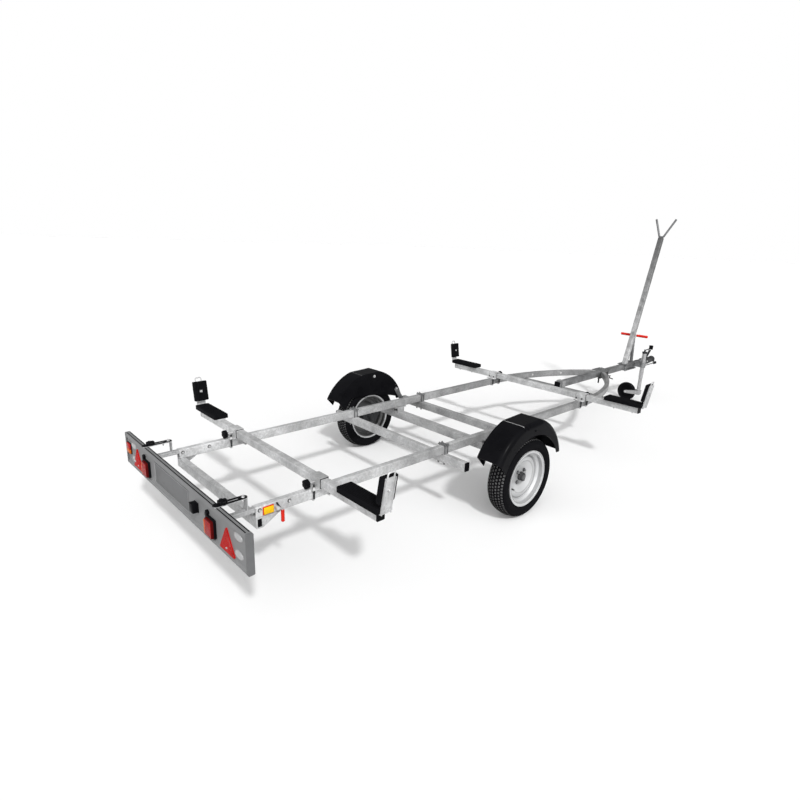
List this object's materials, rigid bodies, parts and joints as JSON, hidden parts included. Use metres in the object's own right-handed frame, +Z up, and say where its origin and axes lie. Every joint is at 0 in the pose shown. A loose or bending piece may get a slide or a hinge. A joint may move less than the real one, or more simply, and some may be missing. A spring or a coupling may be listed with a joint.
{
  "type": "boat trailer",
  "caption": "Single-axle road trailer for a light double-hulled boat: bowed tube frame, padded crossbars, mast post, jockey wheel and pull-out light board",
  "frame": {"origin": "on the ground, under the middle of the overall box", "axes": "+X towards the tow ball, +Y to the left of travel, +Z up"},
  "size_m": [6.0264, 2.1338, 2.1319],
  "materials": {
    "galvanised": "hot-dip zinc with a faint grain",
    "rim": "satin silver paint",
    "tyre": "matt rubber",
    "pad": "matt ribbed rubber",
    "black_plastic": "moulded, slightly glossy",
    "grey_plastic": "moulded grey",
    "red_plastic": "clear red lens and grip",
    "amber_plastic": "amber lens"
  },
  "bodies": {
    "frame": {"aft_cross_member": "galvanised", "axle_beam": "galvanised", "bow_clamp": "galvanised", "coupling_head": "galvanised", "coupling_lever": "galvanised", "crossbar_clamps_front": "galvanised", "crossbar_clamps_rear": "galvanised", "crossbar_front": "galvanised", "crossbar_rear": "galvanised", "drawbar": "galvanised", "fore_cross_member": "galvanised", "front_cross_member": "galvanised", "handle_bar": "red_plastic", "hull_pad_front_left": "pad", "hull_pad_front_right": "pad", "hull_pad_rear_left": "pad", "hull_pad_rear_right": "pad", "jockey_clamp": "galvanised", "jockey_crank": "galvanised", "jockey_tube": "galvanised", "mast_fork": "galvanised", "mast_post": "galvanised", "mudguard_left": "black_plastic", "mudguard_right": "black_plastic", "mudguard_stays": "galvanised", "post_clamp": "galvanised", "post_strut": "galvanised", "rail_left": "galvanised", "rail_right": "galvanised", "rear_cross_member": "galvanised", "rear_gussets": "galvanised", "side_bracket_front_left": "galvanised", "side_bracket_front_right": "galvanised", "side_bracket_rear_left": "galvanised", "side_bracket_rear_right": "galvanised", "side_markers": "amber_plastic", "side_pad_front_left": "pad", "side_pad_front_right": "pad", "side_pad_rear_left": "pad", "side_pad_rear_right": "pad", "slide_levers": "galvanised", "swing_arm_left": "galvanised", "swing_arm_right": "galvanised", "tube_caps": "black_plastic"},
    "wheel_left": {"tyre_left": "tyre", "rim_left": "rim", "hub_left": "galvanised"},
    "wheel_right": {"tyre_right": "tyre", "rim_right": "rim", "hub_right": "galvanised"},
    "jockey_leg": {"jockey_leg": "galvanised"},
    "jockey_fork": {"jockey_fork": "galvanised"},
    "jockey_wheel": {"jockey_wheel": "tyre"},
    "light_carriage": {"light_board": "grey_plastic", "slide_bar_left": "galvanised", "slide_bar_right": "galvanised", "tail_lamps": "red_plastic", "triangle_reflectors": "red_plastic", "plate_lamp": "black_plastic", "board_end_caps": "grey_plastic"}
  },
  "joints": [
    {"name": "wheel_left_spin", "type": "hinge", "parent": "frame", "child": "wheel_left", "pos_m": [-0.99419, 0.8305, 0.281], "axis": [0, 1, 0], "continuous": true},
    {"name": "wheel_right_spin", "type": "hinge", "parent": "frame", "child": "wheel_right", "pos_m": [-0.99419, -0.8305, 0.281], "axis": [0, 1, 0], "continuous": true},
    {"name": "jockey_lift", "type": "slide", "parent": "frame", "child": "jockey_leg", "axis": [0, 0, 1], "range_m": [-0.08, 0.15]},
    {"name": "jockey_swivel", "type": "hinge", "parent": "jockey_leg", "child": "jockey_fork", "pos_m": [2.51619, -0.095, 0.125], "axis": [0, 0, 1], "continuous": true},
    {"name": "jockey_spin", "type": "hinge", "parent": "jockey_fork", "child": "jockey_wheel", "pos_m": [2.51619, 0.048, 0.11], "axis": [1, 0, 0], "continuous": true},
    {"name": "light_board_slide", "type": "slide", "parent": "frame", "child": "light_carriage", "axis": [-1, 0, 0], "range_m": [0, 0.9]}
  ]
}
